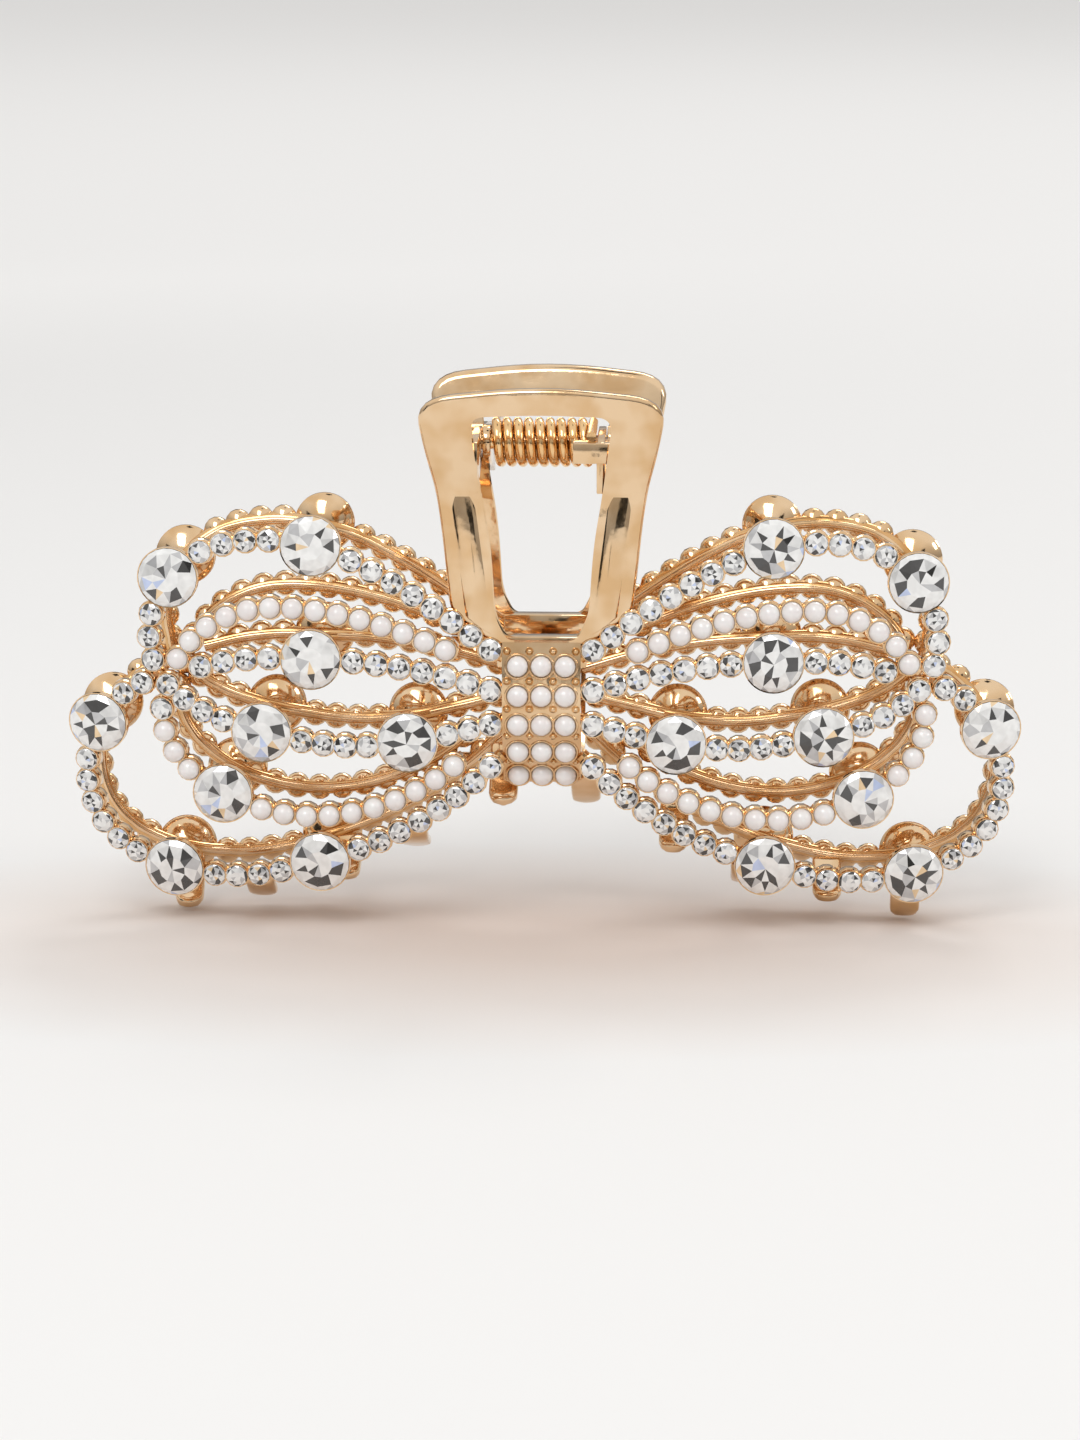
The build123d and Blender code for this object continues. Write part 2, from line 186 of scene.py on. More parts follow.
# %% [markdown]
# ## Reading the seats
# Each stone of the CAD model is one island of its node.  Its largest flat face is the back
# that lies on the seat, so it gives the seat's centre and the way out of it.  Reading the
# places from the CAD means that no list of several hundred places is kept here.
# %% Find every seat
def merged(node):
    """A CAD node's mesh with its loose triangles joined."""
    mesh = bmesh.new()
    mesh.from_mesh(nodes[node].data)
    bmesh.ops.remove_doubles(mesh, verts=mesh.verts, dist=1e-6)
    return mesh


def islands(mesh):
    """Groups of connected faces."""
    seen = set()
    for face in mesh.faces:
        if face in seen:
            continue
        group = [face]
        seen.add(face)
        for member in group:
            for edge in member.edges:
                for near in edge.link_faces:
                    if near not in seen:
                        seen.add(near)
                        group.append(near)
        yield group


def seats_in(node):
    """(centre, way out) of every stone of one node."""
    mesh = merged(node)
    found = []
    for group in islands(mesh):
        flats = {}
        for face in group:
            key = tuple(round(c, 2) for c in face.normal)
            flats.setdefault(key, []).append(face)
        back = max(flats.values(), key=lambda faces: sum(f.calc_area() for f in faces))
        area = sum(f.calc_area() for f in back)
        centre = sum((f.calc_center_median() * f.calc_area() for f in back), Vector()) / area
        out = -sum((f.normal * f.calc_area() for f in back), Vector()).normalized()
        found.append((centre, out))
    mesh.free()
    return found


wings = [(half, side) for half in ("front", "rear") for side in ("right", "left")]
seats = {}
for half, side in wings:
    for group, kind in STONE_NODES.items():
        seats[half, side, kind] = seats_in(f"{half}_{side}_{group}")
print("seats in the wings:", sum(len(found) for found in seats.values()))

# %% [markdown]
# ## Seats of the knot
# The knot curves in below its middle, and pearls that stood square on it there would look at
# the floor.  Each low seat is turned part of the way back to level, lowered a little and lifted
# off the plate.  The lower a seat faces, the more it is moved, and the upper ones stay.
# %% Level the low seats
LEVEL_SHARE = 0.55
LEVEL_LIFT = 0.22
LEVEL_DROP = 0.5


def levelled(spot, out):
    """A knot seat turned part of the way back to level, so the low pearls face forward."""
    low = max(0.0, -out.z)
    turned_out = Vector((out.x, out.y, out.z + low * (1 - LEVEL_SHARE))).normalized()
    moved = spot + turned_out * low * LEVEL_LIFT * MM - Vector((0, 0, low * LEVEL_DROP * MM))
    return moved, turned_out


for half in ("front", "rear"):
    seats[half, "knot", "p"] = [levelled(*seat) for seat in seats_in(f"{half}_knot_pearls")]
print({key: len(found) for key, found in seats.items()})

# %% [markdown]
# ## Finishing a piece
# Every piece ends the same way: smooth faces with sharp edges where they turn, an object at the
# origin, its materials, and its body.  One helper does it, so no piece forgets a step.
# %% Piece helper
def finish_piece(mesh, name, body, materials, sharp=0.6, replaced=()):
    """Turns a bmesh into a piece that rides on a body and stands for CAD nodes."""
    for face in mesh.faces:
        face.smooth = sharp is not None
    for edge in mesh.edges:
        edge.smooth = sharp is not None and edge.calc_face_angle(0) < sharp
    data = bpy.data.meshes.new(name)
    mesh.to_mesh(data)
    mesh.free()
    for material in materials:
        data.materials.append(material)
    piece = bpy.data.objects.new(name, data)
    bpy.context.scene.collection.objects.link(piece)
    if body:
        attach(piece, body)
    if replaced:
        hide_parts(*replaced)
    return piece


print("piece helper ready")


# %% [markdown]
# ## Turning and stamping
# Cups, beads and pearls are round, so each is a profile spun round an axis, as on a lathe.
# One turned shape is then stamped at every seat, in one mesh for each wing, because hundreds of
# separate objects would be slow to handle.
# %% Turning and stamping helpers
def turned(profile, steps):
    """Mesh of a profile, (radius, height) in mm, spun round Z."""
    mesh = bmesh.new()
    points = [mesh.verts.new((radius * MM, 0, height * MM)) for radius, height in profile]
    edges = [mesh.edges.new(pair) for pair in zip(points, points[1:])]
    bmesh.ops.spin(mesh, geom=points + edges, cent=(0, 0, 0), axis=(0, 0, 1),
                   angle=2 * math.pi, steps=steps, use_merge=True)
    bmesh.ops.remove_doubles(mesh, verts=mesh.verts, dist=1e-7)
    bmesh.ops.recalc_face_normals(mesh, faces=mesh.faces)
    data = bpy.data.meshes.new("template")
    mesh.to_mesh(data)
    mesh.free()
    return data


def stamped(template, places, turning=False):
    """One mesh with a copy of the template at every (spot, way out)."""
    mesh = bmesh.new()
    for spot, out in places:
        start = len(mesh.verts)
        mesh.from_mesh(chance.choice(template) if turning else template)
        mesh.verts.ensure_lookup_table()
        angle = chance.uniform(0, math.tau) if turning else 0.0
        stand = out.to_track_quat("Z", "Y").to_matrix().to_4x4()
        matrix = Matrix.Translation(spot) @ stand @ Matrix.Rotation(angle, 4, "Z")
        bmesh.ops.transform(mesh, matrix=matrix, verts=mesh.verts[start:])
    return mesh


print("turning and stamping helpers ready")


# %% [markdown]
# ## Cutting a stone
# A cutter grinds rings of facets round a flat table.  The convex hull of a few rings of corners
# gives the same flat facets with no list of faces.  Six patterns of each size are enough,
# because each copy is also turned by a random angle.
# %% Stone cutter
def painted_tone_of(face, radius):
    """Index of the painted tone of one facet: painted shade in dark stars round the table, painted
    light on the bezels at the rim.  Small stones are painted lighter, because their facets blend."""
    if radius < 2:
        return chance.choices(range(5), (56, 24, 17, 2, 1))[0]
    spread = face.calc_center_median().xy.length / (radius * MM)
    if spread < 0.45:
        return chance.choices(range(5), (66, 18, 13, 2, 1))[0]
    if spread < 0.72:
        return chance.choices(range(5), (54, 13, 30, 2, 1))[0]
    return chance.choices(range(5), (76, 17, 5, 1, 1))[0]


# Rings of a stone: corners as a multiple of its sides, radius and height as shares of its
# radius, and how many half steps the ring is turned by.
STONE_RINGS = ((1, 0.46, 0.27, 0), (1, 0.85, 0.13, 1), (2, 1.0, 0.0, 0), (1, 0.75, -0.22, 1))
STONE_LIFT = 0.06


def cut_stone(radius, seat, sides):
    """Cut stone: the convex hull of rings of corners, with the table split into wedges."""
    mesh = bmesh.new()
    for times, share, height, shift in STONE_RINGS:
        corners = times * sides
        place = Matrix.Translation((0, 0, (seat + STONE_LIFT + height * radius) * MM))
        place = place @ Matrix.Rotation(shift * math.pi / corners, 4, "Z")
        bmesh.ops.create_circle(mesh, segments=corners, radius=share * radius * MM, matrix=place)
    bmesh.ops.convex_hull(mesh, input=mesh.verts)
    bmesh.ops.dissolve_limit(mesh, angle_limit=0.01, verts=mesh.verts, edges=mesh.edges)
    bmesh.ops.recalc_face_normals(mesh, faces=mesh.faces)
    table = max(mesh.faces, key=lambda face: face.calc_center_median().z)
    bmesh.ops.poke(mesh, faces=[table])
    for face in mesh.faces:
        face.material_index = painted_tone_of(face, radius)
    data = bpy.data.meshes.new("template")
    mesh.to_mesh(data)
    mesh.free()
    return data


print("a stone has", len(STONE_RINGS), "rings of corners")

# %% [markdown]
# ## Crystals
# A cut stone shows wedges on its table; the dark stars round it, the light bezels at the rim and
# the few facets that flash blue or orange are painted reflections.  The small stones get fewer
# sides, because they are seen as little more than a sparkle.
# %% Crystals
PATTERNS = 6
small_cut = [cut_stone(CRYSTAL_R, SEAT["c"], 8) for pattern in range(PATTERNS)]
large_cut = [cut_stone(LARGE_R, SEAT["L"], 11) for pattern in range(PATTERNS)]
for half, side in wings:
    for group, kind, cut in (("crystals", "c", small_cut), ("large_crystals", "L", large_cut)):
        node = f"{half}_{side}_{group}"
        mesh = stamped(cut, seats[half, side, kind], turning=True)
        finish_piece(mesh, f"{node}_cut", half, facets,
                     sharp=None, replaced=[node])
print("crystals cut from", len(small_cut) + len(large_cut), "patterns")

# %% [markdown]
# ## Pearls
# Each pearl is most of a ball, sunk into its cup, so only the part above the rim is made.  Its
# profile is an arc from the pole to just below the widest point.
# %% Pearls
PEARL_CENTRE = 0.55
arc = [math.radians(70 - 25 * step) for step in range(5)]
pearl_shape = turned([(0, PEARL_R + PEARL_CENTRE)] + [
    (PEARL_R * math.cos(a), PEARL_CENTRE + PEARL_R * math.sin(a)) for a in arc], 14)
for half, side in wings + [("front", "knot"), ("rear", "knot")]:
    node = f"{half}_{side}_pearls"
    mesh = stamped(pearl_shape, seats[half, side, "p"])
    finish_piece(mesh, f"{node}_round", half, [pearl_white], sharp=1.2, replaced=[node])
print("stones stamped:", sum(len(found) for found in seats.values()))

# %% [markdown]
# ## Cups
# On the real clip each stone sits in a cast cup with a thin rim on a wider collar, and the row
# of collars gives each strand its scalloped edge.  A cup is closed behind by a cone that runs
# into the rib.  All of that is in one turned profile, so rim, collar and cone always line up.
# %% Cup profiles
def cup(radius, seat, root):
    """Profile of a small cup, from inside its rim round to the cone on its back."""
    return [(radius - 0.10, seat - 0.35), (radius + 0.03, seat), (radius + 0.12, seat),
            (radius + 0.12, seat - 0.42), (radius + 0.24, seat - 0.50),
            (radius + 0.24, seat - 1.25), (radius - 0.10, seat - 1.65), (0.5, seat - root)]


def large_cup(radius, seat):
    """Profile of a large cup: rim, groove, collar and a dome down to the rib."""
    return [(radius - 0.25, seat - 0.5), (radius + 0.02, seat), (radius + 0.13, seat + 0.02),
            (radius + 0.14, seat - 0.40), (radius + 0.02, seat - 0.52),
            (radius + 0.02, seat - 0.68), (radius + 0.10, seat - 0.80),
            (radius - 0.08, seat - 1.05), (radius * 0.78, seat - 1.50),
            (radius * 0.45, seat - 2.10), (0.7, seat - 2.4), (0, seat - 2.4)]


print("a large cup has", len(large_cup(LARGE_R, SEAT["L"])), "profile points")

# %% [markdown]
# ## Stamping the cups
# The three cups are turned once and stamped at every seat.  The small ones have few sides,
# because there are hundreds of them, and the large ones have enough to look round up close.
# %% Stamp the cups
CUP_DEPTH = 1.9
SMALL_SIDES = 14
LARGE_SIDES = 40
cups = {"c": turned(cup(CRYSTAL_R, SEAT["c"], CUP_DEPTH), SMALL_SIDES),
        "p": turned(cup(PEARL_R, SEAT["p"], CUP_DEPTH), SMALL_SIDES),
        "L": turned(large_cup(LARGE_R, SEAT["L"]), LARGE_SIDES)}
for half, side in wings:
    for kind, word in (("c", "crystal_cups"), ("p", "pearl_cups"), ("L", "large_cups")):
        mesh = stamped(cups[kind], seats[half, side, kind])
        finish_piece(mesh, f"{half}_{side}_{word}", half, [gold], sharp=0.7)
print("cups made for", len(wings), "wings")

# %% [markdown]
# ## Following a strand
# A stone belongs to the strand whose seat touches its back.  The stone nearest the knot comes
# first, and each next one is the nearest of those that are left, as beads lie on a string.
# %% Order the stones of a strand
def strand_members(half, side, strand):
    """Seats of one strand, in order from the knot outwards."""
    mesh = merged(f"{half}_{side}_{strand}")
    tree = BVHTree.FromBMesh(mesh)
    left = []
    for kind in "cpL":
        for spot, out in seats[half, side, kind]:
            if tree.find_nearest(spot)[3] < 0.05 * MM:
                left.append((spot, out, kind))
    mesh.free()
    chain = [min(left, key=lambda stone: abs(stone[0].x))]
    left.remove(chain[0])
    while left:
        near = min(left, key=lambda stone: (stone[0] - chain[-1][0]).length)
        left.remove(near)
        chain.append(near)
    return chain


print("strands on each wing:", len(STRANDS))


# %% [markdown]
# ## Ribs
# Behind its cups each strand is a thick cast bar with a thinner ridge on its back.  A curve with
# a round bevel bends with the strand and keeps its thickness, which an extruded mesh would not.
# The ends carry on a little, so that a rib runs into the knot.
# %% Ribs and ridges
RIB_R = 0.74
RIDGE_R = 0.34
RIB_DEPTH = 1.42
RIDGE_DEPTH = 2.15


def tube(name, points, radius, body, material, replaced=()):
    """Round bar through points."""
    curve = bpy.data.curves.new(name, "CURVE")
    curve.dimensions = "3D"
    curve.bevel_depth = radius * MM
    curve.bevel_resolution = 3
    curve.resolution_u = 5
    curve.use_fill_caps = True
    spline = curve.splines.new("BEZIER")
    spline.bezier_points.add(len(points) - 1)
    for knot, point in zip(spline.bezier_points, points):
        knot.co = point
        knot.handle_left_type = knot.handle_right_type = "AUTO"
    curve.materials.append(material)
    piece = bpy.data.objects.new(name, curve)
    bpy.context.scene.collection.objects.link(piece)
    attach(piece, body)
    if replaced:
        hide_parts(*replaced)
    return piece


def lengthened(points, near, far):
    """The route with both ends carried on in their own direction."""
    first = points[0] + (points[0] - points[1]).normalized() * near * MM
    last = points[-1] + (points[-1] - points[-2]).normalized() * far * MM
    return [first] + points + [last]


for half, side in wings:
    for strand in STRANDS:
        chain = strand_members(half, side, strand)
        near, far = (1.7, 1.4) if "pearl" not in strand else (1.2, 0.4)
        body_route = []
        ridge_route = []
        for spot, out, kind in chain:
            rim = spot + out * SEAT[kind] * MM
            deeper = 0.8 if kind == "L" else 0.0
            body_route.append(rim - out * (RIB_DEPTH + deeper) * MM)
            ridge_route.append(rim - out * (RIDGE_DEPTH + 0.5 * deeper) * MM)
        node = f"{half}_{side}_{strand}"
        # The rib body wears the darker gold that is painted shade; the ridge keeps the plain gold.
        tube(f"{node}_rib", lengthened(body_route, near, far), RIB_R, half, gold_painted_shade, [node])
        tube(f"{node}_ridge", lengthened(ridge_route, near, far), RIDGE_R, half, gold)
        print(node, len(chain), "stones")

# %% [markdown]
# ## Knot, pin and spring
# These have the right shape in CAD already.  Their loose triangles are joined, and the pin's
# edges are rounded, because a real edge always catches a line of light.  The spring is left on
# neither half, though each of its ends lies on another half.
# %% Knot, pin and spring
PIN_EDGE = 0.1


def eased(node, body, material, width):
    """A CAD node's shape with rounded edges."""
    mesh = merged(node)
    bmesh.ops.dissolve_limit(mesh, angle_limit=0.02, verts=mesh.verts, edges=mesh.edges)
    if width:
        edges = [e for e in mesh.edges if e.is_manifold and e.calc_face_angle(0) > 0.5]
        bmesh.ops.bevel(mesh, geom=edges, offset=width * MM, affect="EDGES", segments=3,
                        profile=0.5, material=-1, clamp_overlap=True)
    return finish_piece(mesh, f"{node}_eased", body, [material], replaced=[node])


for half in ("front", "rear"):
    eased(f"{half}_knot", half, gold, 0.0)
eased("hinge_pin", "front", wire_gold, PIN_EDGE)
spring = finish_piece(merged("torsion_spring"), "torsion_spring_wire", None, [wire_gold],
                      replaced=["torsion_spring"])
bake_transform(spring)
print("knots, pin and spring finished")

# %% [markdown]
# ## Teeth
# The teeth are polished until their ends are round, so that they comb through the hair.  A
# bevel is held back by the many thin faces of such a curved prong.  A fine voxel remesh has
# even faces, and a few rounds of smoothing then wear its edges down as polishing does.
# %% Teeth
VOXEL = 0.24
SMOOTHING_ROUNDS = 14


def softened(node, body, material):
    """A CAD node's shape remeshed and smoothed, so its ends are rounded as on a polished casting."""
    mesh = merged(node)
    rough = bpy.data.meshes.new("casting")
    mesh.to_mesh(rough)
    mesh.free()
    casting = bpy.data.objects.new("casting", rough)
    bpy.context.scene.collection.objects.link(casting)
    remesh = casting.modifiers.new("remesh", "REMESH")
    remesh.mode = "VOXEL"
    remesh.voxel_size = VOXEL * MM
    graph = bpy.context.evaluated_depsgraph_get()
    fine = bpy.data.meshes.new_from_object(casting.evaluated_get(graph))
    bpy.data.objects.remove(casting)
    mesh = bmesh.new()
    mesh.from_mesh(fine)
    for step in range(SMOOTHING_ROUNDS):
        bmesh.ops.smooth_vert(mesh, verts=mesh.verts, factor=0.5, use_axis_x=True,
                              use_axis_y=True, use_axis_z=True)
    return finish_piece(mesh, f"{node}_softened", body, [material], replaced=[node])


for half in ("front", "rear"):
    softened(f"{half}_teeth", half, gold)
print("teeth rounded with", SMOOTHING_ROUNDS, "rounds of smoothing")

# %% [markdown]
# ## Outline of the finger loop
# The loop is a rounded slab with an opening, bent outwards above the bend.  Its two outlines
# are only the corners of one side, mirrored, and each corner has its own rounding.
# %% Loop outlines
BEND_Z = 45.7
PIN_Z = 50.4
OUTER = [(4.6, 31.0), (8.7, 34.1), (9.9, 45.7), (11.3, 51.0), (12.1, 55.6), (0, 56.9)]
INNER = [(3.6, 31.0), (4.85, 33.5), (5.3, 40.7), (6.3, 46.5), (7.3, 54.3), (0, 54.6)]


def rounded(half_outline, radii):
    """Closed outline from its right half, with each corner rounded by its own radius."""
    mirrored = [(-x, z) for x, z in reversed(half_outline) if x]
    corners = [Vector(p) for p in half_outline + mirrored]
    reach = radii + [r for r, (x, z) in zip(reversed(radii), reversed(half_outline)) if x]
    points = []
    for index, corner in enumerate(corners):
        before = corners[index - 1] - corner
        after = corners[(index + 1) % len(corners)] - corner
        start = corner + before.normalized() * min(reach[index], before.length * 0.45)
        end = corner + after.normalized() * min(reach[index], after.length * 0.45)
        for step in range(7):
            t = step / 6
            points.append(start * (1 - t) ** 2 + corner * 2 * t * (1 - t) + end * t**2)
    return points


LEAN_SLOPE = 0.283
BEND_REACH = 1.5


def lean(z):
    """How far the loop stands out at a height, eased round the bend."""
    rise = z - BEND_Z
    if rise < -BEND_REACH:
        return 0.0
    if rise < BEND_REACH:
        return LEAN_SLOPE * (rise + BEND_REACH) ** 2 / (4 * BEND_REACH)
    return LEAN_SLOPE * rise


print("outer outline:", len(rounded(OUTER, [0.5, 1.0, 6.0, 3.0, 3.2, 8.0])), "points")


# %% [markdown]
# ## Fittings of the loop
# Inside the loop are small cast blocks: a raised facet on each leg, the shelf under the spring's
# end, two lugs for the pin and the bar at the back.  Each is convex, so the hull of its corners
# makes it, and a narrow bevel takes the sharpness off.
# %% Block helpers
def block(mesh, corners):
    """Adds the convex hull of some corners, in mm."""
    own = bmesh.new()
    for corner in corners:
        own.verts.new(Vector(corner) * MM)
    bmesh.ops.convex_hull(own, input=own.verts)
    bmesh.ops.dissolve_limit(own, angle_limit=0.01, verts=own.verts, edges=own.edges)
    edges = [e for e in own.edges if e.is_manifold and e.calc_face_angle(0) > 0.4]
    bmesh.ops.bevel(own, geom=edges, offset=0.12 * MM, affect="EDGES", segments=2, profile=0.5,
                    material=-1, clamp_overlap=True)
    data = bpy.data.meshes.new("block")
    own.to_mesh(data)
    own.free()
    mesh.from_mesh(data)


def cuboid(x0, x1, y0, y1, z0, z1):
    """Corners of a straight block."""
    return [(x, y, z) for x in (x0, x1) for y in (y0, y1) for z in (z0, z1)]


LUG_R = 1.7


def lug(x0, x1, root_y):
    """Corners of a lug: a round end about the pin and a root on the loop."""
    corners = []
    for x in (x0, x1):
        for step in range(20):
            angle = math.tau * step / 20
            corners.append((x, LUG_R * math.cos(angle), PIN_Z + LUG_R * math.sin(angle)))
        corners += [(x, root_y, PIN_Z + 1.1), (x, root_y, PIN_Z - 4.2)]
    return corners


print("a lug has", len(lug(0, 1, 0)), "corners")


# %% [markdown]
# ## Slab of the finger loop
# A flat curve with a hole fills, thickens and rounds its own edges, which is the quickest way to
# a slab like this.  It is made a mesh and stood up, and rows of cuts at the bend let it bend.
# %% Loop slab
LOOP_Y = 7.6


def finger_loop():
    """Mesh of one loop slab, for the front half."""
    curve = bpy.data.curves.new("loop", "CURVE")
    curve.dimensions = "2D"
    curve.fill_mode = "BOTH"
    curve.extrude = 0.30 * MM
    curve.bevel_depth = 0.70 * MM
    curve.bevel_resolution = 5
    for outline in (rounded(OUTER, [0.5, 1.0, 6.0, 3.0, 3.2, 8.0]),
                    rounded(INNER, [0.8, 1.6, 3.0, 3.0, 1.6, 3.0])):
        spline = curve.splines.new("POLY")
        spline.points.add(len(outline) - 1)
        spline.use_cyclic_u = True
        for knot, point in zip(spline.points, outline):
            knot.co = (point.x * MM, point.y * MM, 0, 1)
    shape = bpy.data.objects.new("loop", curve)
    bpy.context.scene.collection.objects.link(shape)
    bpy.context.view_layer.update()
    data = bpy.data.meshes.new_from_object(shape)
    bpy.data.objects.remove(shape)
    mesh = bmesh.new()
    mesh.from_mesh(data)
    bmesh.ops.remove_doubles(mesh, verts=mesh.verts, dist=1e-6)
    bmesh.ops.transform(mesh, matrix=Matrix.Rotation(math.pi / 2, 4, "X"), verts=mesh.verts)
    for cut in range(-4, 5):
        bmesh.ops.bisect_plane(mesh, geom=mesh.verts[:] + mesh.edges[:] + mesh.faces[:],
                               plane_co=(0, 0, (BEND_Z + cut * 0.4) * MM), plane_no=(0, 0, 1))
    for vert in mesh.verts:
        vert.co.y -= (LOOP_Y + lean(vert.co.z / MM)) * MM
    return mesh


print("the slab stands", LOOP_Y, "mm from the middle of the clip")

# %% [markdown]
# ## Both finger loops
# The rear half is the front half turned half a turn, as two castings from one mould are.
# %% Make the finger loops
for half, way in (("front", 0.0), ("rear", math.pi)):
    turn = Matrix.Rotation(way, 4, "Z")
    slab = finger_loop()
    bmesh.ops.transform(slab, matrix=turn, verts=slab.verts)
    finish_piece(slab, f"{half}_finger_loop", half, [gold], sharp=0.6,
                 replaced=[f"{half}_handle"])
    fittings = bmesh.new()
    for sign in (1, -1):
        foot = [(sign * x, -8.5, z) for x, z in ((4.9, 31.4), (7.9, 33.5))]
        foot += [(sign * x, -9.15, z) for x, z in ((5.9, 32.1), (7.1, 33.0))]
        top = [(sign * x, -8.5, 46.2) for x in (6.75, 9.5)]
        top += [(sign * x, -8.75, 46.0) for x in (7.4, 8.8)]
        block(fittings, foot + top)
    block(fittings, cuboid(3.2, 8.4, -8.9, -3.3, PIN_Z - 1.05, PIN_Z + 1.05))
    block(fittings, cuboid(-4.6, 4.6, -7.8, -5.6, 28.0, 31.2))
    block(fittings, lug(-7.32, -6.52, -8.9))
    block(fittings, lug(5.62, 6.42, -8.6))
    bmesh.ops.transform(fittings, matrix=turn, verts=fittings.verts)
    finish_piece(fittings, f"{half}_loop_fittings", half, [gold], sharp=0.5)
print("finger loops made")

# %% [markdown]
# ## Beads and collars of the knot
# Small cast beads stand between the knot's pearls, and a thin ring holds each pearl.  A ray shot
# at the knot from outside finds its surface, so that each bead stands on the curve of the plate.
# %% Beads and collars
RAY_START = 30
bead = turned([(0, 0.34), (0.20, 0.26), (0.27, 0.05), (0.38, 0.12), (0.46, -0.05)], 12)
collar = turned([(1.10, 0.35), (1.15, 0.68), (1.24, 0.75), (1.34, 0.70), (1.40, 0.50)], 28)
for half, way in (("front", 1), ("rear", -1)):
    mesh = merged(f"{half}_knot")
    tree = BVHTree.FromBMesh(mesh)
    mesh.free()
    places = []
    for z in BEAD_ROWS:
        for x in BEAD_COLUMNS:
            start = Vector((x, -RAY_START * way, z)) * MM
            places.append(tree.ray_cast(start, Vector((0, way, 0)))[:2])
    finish_piece(stamped(bead, places), f"{half}_knot_beads", half, [gold], sharp=1.2)
    mesh = stamped(collar, seats[half, "knot", "p"])
    finish_piece(mesh, f"{half}_knot_collars", half, [gold], sharp=1.2)
print("beads:", len(places), "on each knot")

# %% [markdown]
# ## Floor
# The clip stands on pale paper.  Under the clip the paper is painted darker and warmer in a soft
# oval, a painted shadow with painted warm light from the gold, and is plain further away.
# %% Floor
FLOOR_GAP = 0.0001
floor_mesh = bmesh.new()
bmesh.ops.create_grid(floor_mesh, x_segments=1, y_segments=1, size=6.0)
floor_data = bpy.data.meshes.new("floor")
floor_mesh.to_mesh(floor_data)
floor_mesh.free()
floor = bpy.data.objects.new("floor", floor_data)
bpy.context.scene.collection.objects.link(floor)
floor.location.z = -FLOOR_GAP
paper, shader = shader_of("paper", Roughness=0.75)
tree = paper.node_tree
place = tree.nodes.new("ShaderNodeTexCoord")
stretch = tree.nodes.new("ShaderNodeMapping")
stretch.inputs["Scale"].default_value = (11.0, 22.0, 1.0)
stretch.inputs["Location"].default_value = (0.0, 0.25, 0.0)
painted_shadow = tree.nodes.new("ShaderNodeTexGradient")
painted_shadow.gradient_type = "SPHERICAL"
tree.links.new(place.outputs["Object"], stretch.inputs["Vector"])
tree.links.new(stretch.outputs["Vector"], painted_shadow.inputs["Vector"])
# Painted shadow: the paper goes from plain outside the oval to a darker warm brown under the clip.
ramp(paper, painted_shadow, [(0.0, (0.86, 0.855, 0.85, 1)), (0.85, (0.80, 0.70, 0.64, 1))],
     shader.inputs["Base Color"])
floor.data.materials.append(paper)
print("floor laid")


# %% [markdown]
# ## Lights and cards
# Polished metal shows mostly what stands round it.  Large soft panels give it smooth bright
# bands, and black cards that the camera can't see give the dark bands that shape it.
# %% Lights and cards
def panel(name, spot, aim, width, height, power):
    """Soft box at a spot, pointing at another."""
    light = bpy.data.lights.new(name, "AREA")
    light.shape = "RECTANGLE"
    light.size, light.size_y = width, height
    light.energy = power
    lamp = bpy.data.objects.new(name, light)
    lamp.location = spot
    lamp.rotation_euler = (Vector(aim) - Vector(spot)).to_track_quat("-Z", "Y").to_euler()
    bpy.context.scene.collection.objects.link(lamp)
    return lamp


def card(name, spot, aim, width, height):
    """Black card that the polished parts reflect."""
    mesh = bmesh.new()
    bmesh.ops.create_grid(mesh, x_segments=1, y_segments=1, size=0.5)
    data = bpy.data.meshes.new(name)
    mesh.to_mesh(data)
    mesh.free()
    data.materials.append(black)
    piece = bpy.data.objects.new(name, data)
    piece.scale = (width, height, 1)
    piece.location = spot
    piece.rotation_euler = (Vector(aim) - Vector(spot)).to_track_quat("Z", "Y").to_euler()
    bpy.context.scene.collection.objects.link(piece)
    piece.visible_camera = False
    piece.visible_shadow = False
    return piece


black, shader = shader_of("black_card", Roughness=0.9)
shader.inputs["Base Color"].default_value = (0.01, 0.01, 0.01, 1)
middle = (0, 0, 0.025)
stage = [
    floor,
    panel("key", (-0.25, -0.75, 0.95), middle, 0.50, 0.50, 3.4),
    panel("top_back", (0.5, 1.6, 1.8), middle, 0.9, 0.4, 7.0),
    panel("side", (1.6, -0.4, 0.9), middle, 0.3, 0.5, 2.6),
    card("card_left", (-0.50, -0.35, 0.14), middle, 0.16, 0.28),
    card("card_right", (0.42, -0.50, 0.30), middle, 0.14, 0.24),
    card("card_low", (0.15, -0.60, 0.08), middle, 0.30, 0.10),
    card("card_back", (-0.20, 0.55, 0.30), middle, 0.20, 0.20),
    card("card_top", (0.05, 0.05, 0.70), middle, 0.14, 0.14),
    card("leg_strip_left", (-0.0155, -0.20, 0.014), (-0.0155, 0, 0.014), 0.0055, 0.026),
    card("leg_strip_right", (-0.0020, -0.20, 0.014), (-0.0020, 0, 0.014), 0.0055, 0.026),
]
print("stage pieces:", len(stage))

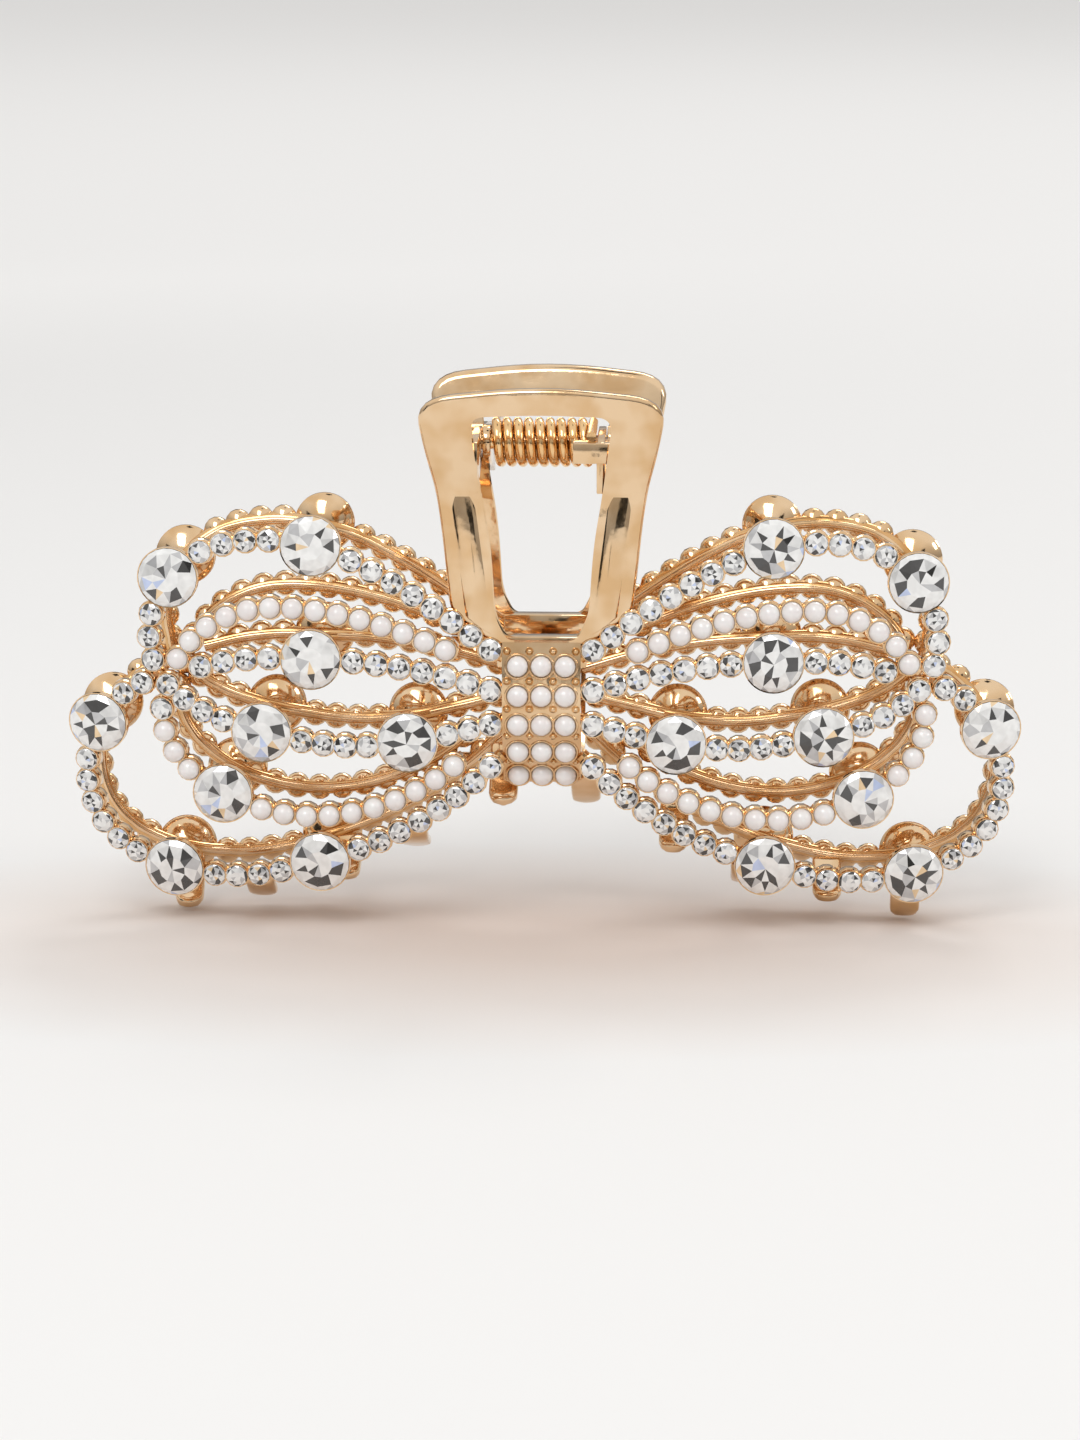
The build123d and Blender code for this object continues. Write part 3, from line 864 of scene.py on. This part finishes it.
# %% [markdown]
# ## Sky
# A plain white sky would make gold look flat.  This one is dim at the sides and bright above,
# so surfaces that face up are lighter than those that face the floor.
# %% Sky
world = bpy.data.worlds.new("studio")
bpy.context.scene.world = world
world.use_nodes = True
tree = world.node_tree
place = tree.nodes.new("ShaderNodeTexCoord")
split = tree.nodes.new("ShaderNodeSeparateXYZ")
lift = tree.nodes.new("ShaderNodeMath")
lift.operation = "MULTIPLY_ADD"
lift.inputs[1].default_value = lift.inputs[2].default_value = 0.5
sky = tree.nodes.new("ShaderNodeValToRGB")
for element, (position, level) in zip(sky.color_ramp.elements, ((0.50, 0.38), (0.85, 1.05))):
    element.position = position
    element.color = (level, level * 0.99, level * 0.975, 1)
tree.links.new(place.outputs["Generated"], split.inputs["Vector"])
tree.links.new(split.outputs["Z"], lift.inputs[0])
tree.links.new(lift.outputs[0], sky.inputs["Fac"])
tree.links.new(sky.outputs["Color"], tree.nodes["Background"].inputs["Color"])
tree.nodes["Background"].inputs["Strength"].default_value = 0.86
print("sky strength:", tree.nodes["Background"].inputs["Strength"].default_value)

# %% [markdown]
# ## Camera
# A long lens from nearly straight ahead and a little above keeps the bow's proportions true.
# Its place is worked out from angles and a distance, so that it is easy to move round the clip.
# %% Camera
AZIMUTH, ELEVATION, DISTANCE = math.radians(2.45), math.radians(11.31), 443.8
target = Vector((-0.514, 0.0, 20.95)) * MM
back = Vector((math.sin(AZIMUTH) * math.cos(ELEVATION), -math.cos(AZIMUTH) * math.cos(ELEVATION),
               math.sin(ELEVATION)))
lens = bpy.data.cameras.new("camera")
lens.lens = 105.4
lens.sensor_width = 36.0
lens.clip_start, lens.clip_end = 0.01, 20.0
camera = bpy.data.objects.new("camera", lens)
camera.location = target + back * DISTANCE * MM
camera.rotation_euler = (-back).to_track_quat("-Z", "Y").to_euler()
bpy.context.scene.collection.objects.link(camera)
bpy.context.scene.camera = camera
bpy.context.scene.view_settings.view_transform = "Standard"
print("camera at", [round(c, 3) for c in camera.location])
